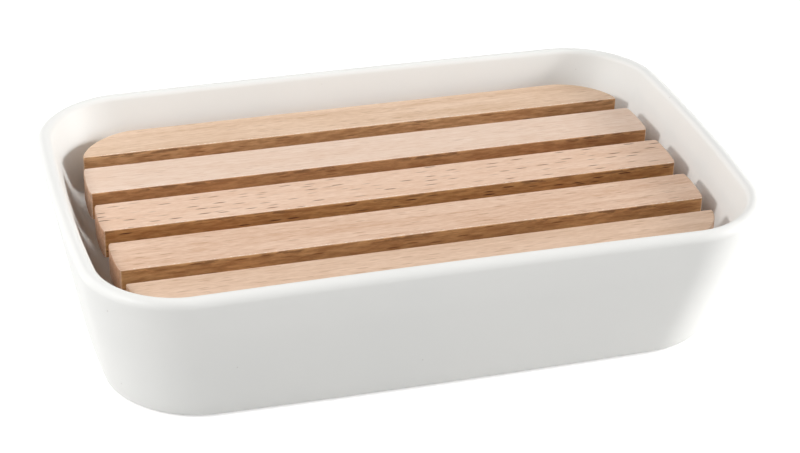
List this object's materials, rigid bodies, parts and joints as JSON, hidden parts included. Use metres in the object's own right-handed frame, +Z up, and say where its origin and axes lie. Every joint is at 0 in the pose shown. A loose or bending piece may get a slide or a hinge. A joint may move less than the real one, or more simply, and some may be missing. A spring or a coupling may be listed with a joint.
{
  "type": "soap dish",
  "caption": "Rectangular glazed ceramic soap dish with rounded corners and drafted walls, holding a lift-out rack of parallel beech slats that lets water drain to the tray below.",
  "frame": {"origin": "centre of the plane that the foot ring stands on", "axes": "+X along the length, +Y to the back long side, +Z up"},
  "size_m": [0.14, 0.09, 0.032],
  "materials": {
    "glaze": "white satin glaze",
    "beech_slats": "planed, unvarnished beech",
    "beech_battens": "sawn and eased, unvarnished beech",
    "beech_pins": "turned, unvarnished beech"
  },
  "bodies": {
    "tray": {"dish": "glaze"},
    "rack": {"slat_1": "beech_slats", "slat_2": "beech_slats", "slat_3": "beech_slats", "slat_4": "beech_slats", "slat_5": "beech_slats", "batten_left": "beech_battens", "batten_right": "beech_battens", "dowel_pins_left": "beech_pins", "dowel_pins_right": "beech_pins"}
  },
  "joints": [
    {"name": "rack_lift", "type": "slide", "parent": "tray", "child": "rack", "axis": [0, 0, 1], "range_m": [0, 0.045]}
  ]
}
